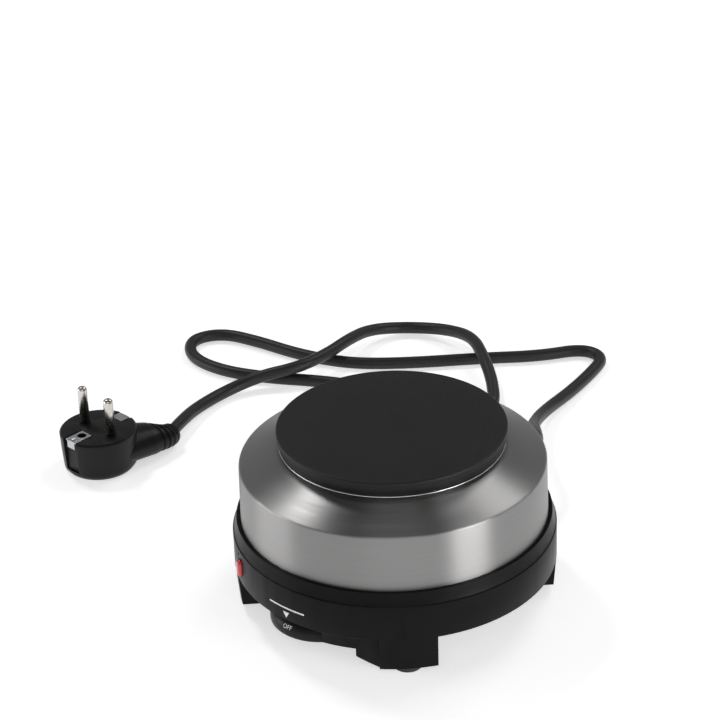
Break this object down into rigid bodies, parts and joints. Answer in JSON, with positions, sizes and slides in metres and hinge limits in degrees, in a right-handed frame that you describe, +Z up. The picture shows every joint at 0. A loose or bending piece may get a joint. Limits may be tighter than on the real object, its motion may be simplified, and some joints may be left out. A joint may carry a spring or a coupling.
{
  "type": "electric hot plate",
  "caption": "Small round electric hot plate: black cast plate on a stainless shell and black base with feet, thumb-wheel control, red lamp, cord and plug.",
  "frame": {"origin": "on the surface it stands on, under the middle of the base", "axes": "+Z up, -Y to the front with the knob, +Y to the back with the cord"},
  "size_m": [0.309, 0.3025, 0.0825],
  "materials": {
    "cast_plate": "semi-gloss heat-proof black with fine turning lines",
    "shell_steel": "brushed round the axis",
    "base_black": "satin moulded",
    "knob_black": "satin moulded",
    "pad_rubber": "matt",
    "print_white": "printed ink",
    "lens_red": "clear red, glossy",
    "bright_steel": "bright rolled",
    "zinc_steel": "zinc plated",
    "element_metal": "oxidised",
    "ceramic_white": "glazed ceramic",
    "filler_grey": "dry compound",
    "wool_white": "fibre board",
    "brass_parts": "plain",
    "lamp_glass": "clear",
    "cord_black": "matt pvc",
    "plug_black": "satin moulded pvc",
    "pin_nickel": "nickel plated",
    "lead_brown": "pvc",
    "lead_blue": "pvc",
    "lead_green": "pvc"
  },
  "bodies": {
    "burner": {"hot_plate": "cast_plate", "trim_ring": "bright_steel", "heating_coil": "element_metal", "coil_filler": "filler_grey", "wool_ring": "wool_white", "heat_shield": "zinc_steel", "pin_beads": "ceramic_white", "plate_stud": "zinc_steel", "stud_washers": "zinc_steel", "stud_nuts": "zinc_steel", "clamp_bridge": "zinc_steel", "bridge_screws": "zinc_steel", "earth_tag": "brass_parts", "earth_screw": "zinc_steel", "steel_shell": "shell_steel", "base_housing": "base_black", "foot_pads": "pad_rubber", "bottom_cover": "zinc_steel", "cover_screws": "zinc_steel", "wall_marks": "print_white", "thermostat_bracket": "zinc_steel", "thermostat_bush": "brass_parts", "bracket_screws": "zinc_steel", "stack_insulators": "ceramic_white", "stack_rivet": "zinc_steel", "fixed_contact_blade": "brass_parts", "blade_tab": "brass_parts", "bimetal_strip": "zinc_steel", "indicator_lens": "lens_red", "lamp_carrier": "ceramic_white", "neon_lamp": "lamp_glass", "lamp_resistor": "lead_brown", "terminal_block": "ceramic_white", "terminal_sleeves": "brass_parts", "terminal_screws": "zinc_steel", "block_link": "brass_parts", "thermal_fuse": "zinc_steel", "fuse_clip": "zinc_steel", "cord_clamp": "base_black", "clamp_screws": "zinc_steel", "cord_tail": "cord_black", "cord_gland": "plug_black", "power_cord": "cord_black", "plug_body": "plug_black", "plug_earth_clips": "zinc_steel", "plug_pins": "pin_nickel", "plug_relief": "plug_black", "live_lead": "lead_brown", "neutral_lead": "lead_blue", "earth_lead": "lead_green", "switched_lead": "lead_brown", "fuse_lead": "lead_brown", "return_lead": "lead_blue", "lamp_return": "lead_blue"},
    "knob": {"control_knob": "knob_black", "knob_marks": "print_white", "thermostat_shaft": "brass_parts", "push_pin": "ceramic_white"},
    "contact": {"moving_contact_blade": "brass_parts"}
  },
  "joints": [
    {"name": "knob_turn", "type": "hinge", "parent": "burner", "child": "knob", "pos_m": [0, -0.0485, 0.0147], "axis": [0, 0, 1], "range_deg": [0, 270]},
    {"name": "contact_flex", "type": "hinge", "parent": "burner", "child": "contact", "pos_m": [-0.0072, -0.0485, 0.0325], "axis": [0, 1, 0], "range_deg": [0, 2]}
  ],
  "couplings": [
    {"joint": "contact_flex", "follows": "knob_turn", "ratio": 0.0074}
  ]
}
